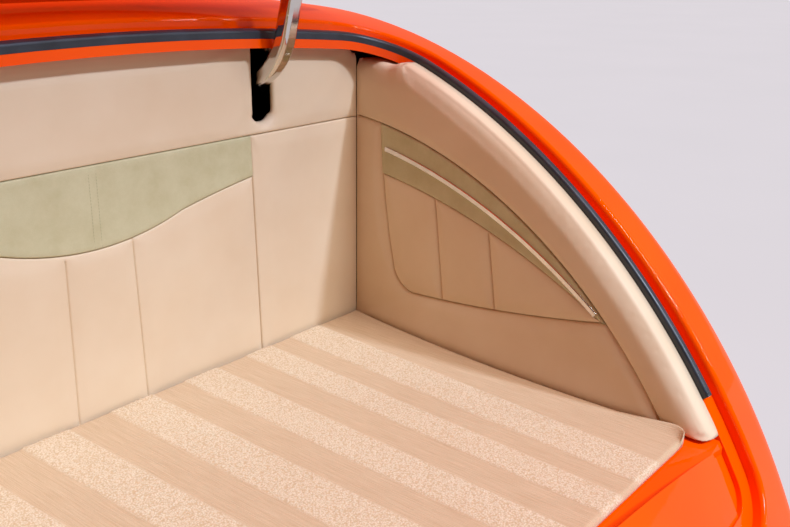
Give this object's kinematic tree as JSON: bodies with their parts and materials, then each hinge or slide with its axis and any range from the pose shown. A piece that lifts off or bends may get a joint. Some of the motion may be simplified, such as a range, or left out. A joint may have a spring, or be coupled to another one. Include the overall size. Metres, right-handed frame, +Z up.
{
  "type": "car boot section",
  "caption": "Tail section of an open car's body: leather-lined luggage boot with carpet, gutter and seal, and a lid on gooseneck hinges.",
  "frame": {"origin": "on the floor under the middle of the section's box, at the height of its foot flange", "axes": "+X to the car's right, +Y towards the car's front, +Z up"},
  "size_m": [1.5462, 1.2208, 1.581],
  "materials": {
    "body_paint": "orange two-coat gloss paint on pressed steel",
    "chassis_paint": "satin black paint on steel",
    "seal_rubber": "moulded black rubber",
    "leather": "cream-tan upholstery leather over foam",
    "suede": "sage-beige suede",
    "carpet": "beige carpet in smooth and looped stripes",
    "polished_trim": "polished strip",
    "polished_arm": "polished and plated steel"
  },
  "bodies": {
    "root": {"deck_panel": "body_paint", "tail_panel": "body_paint", "gutter": "body_paint", "weatherstrip": "seal_rubber", "bulkhead": "chassis_paint", "floor_pan": "chassis_paint", "front_hoop": "chassis_paint", "sill_panel": "body_paint", "carpet": "carpet", "cross_member_rear": "chassis_paint", "cross_member_middle": "chassis_paint", "cross_member_front": "chassis_paint", "bulkhead_roll": "leather", "bulkhead_suede_insert": "suede", "bulkhead_pleated_panel": "leather", "striker": "polished_trim", "quarter_panel_left": "body_paint", "quarter_panel_right": "body_paint", "inner_side_left": "chassis_paint", "inner_side_right": "chassis_paint", "hinge_pocket_left": "chassis_paint", "hinge_pocket_right": "chassis_paint", "floor_rail_left": "chassis_paint", "floor_rail_right": "chassis_paint", "bulkhead_outer_panel_left": "leather", "bulkhead_outer_panel_right": "leather", "side_lower_trim_left": "leather", "side_lower_trim_right": "leather", "side_suede_band_left": "suede", "side_suede_band_right": "suede", "side_pleated_insert_left": "leather", "side_pleated_insert_right": "leather", "side_moulding_left": "polished_trim", "side_moulding_right": "polished_trim", "side_roll_left": "leather", "side_roll_right": "leather"},
    "lid": {"lid_skin": "body_paint", "lid_frame": "body_paint", "lid_latch": "chassis_paint", "hinge_arm_left": "polished_arm", "hinge_arm_right": "polished_arm"}
  },
  "joints": [
    {"name": "lid_hinge", "type": "hinge", "parent": "root", "child": "lid", "pos_m": [0, 0.33539, 0.838], "axis": [1, 0, 0], "range_deg": [0, 80]}
  ]
}
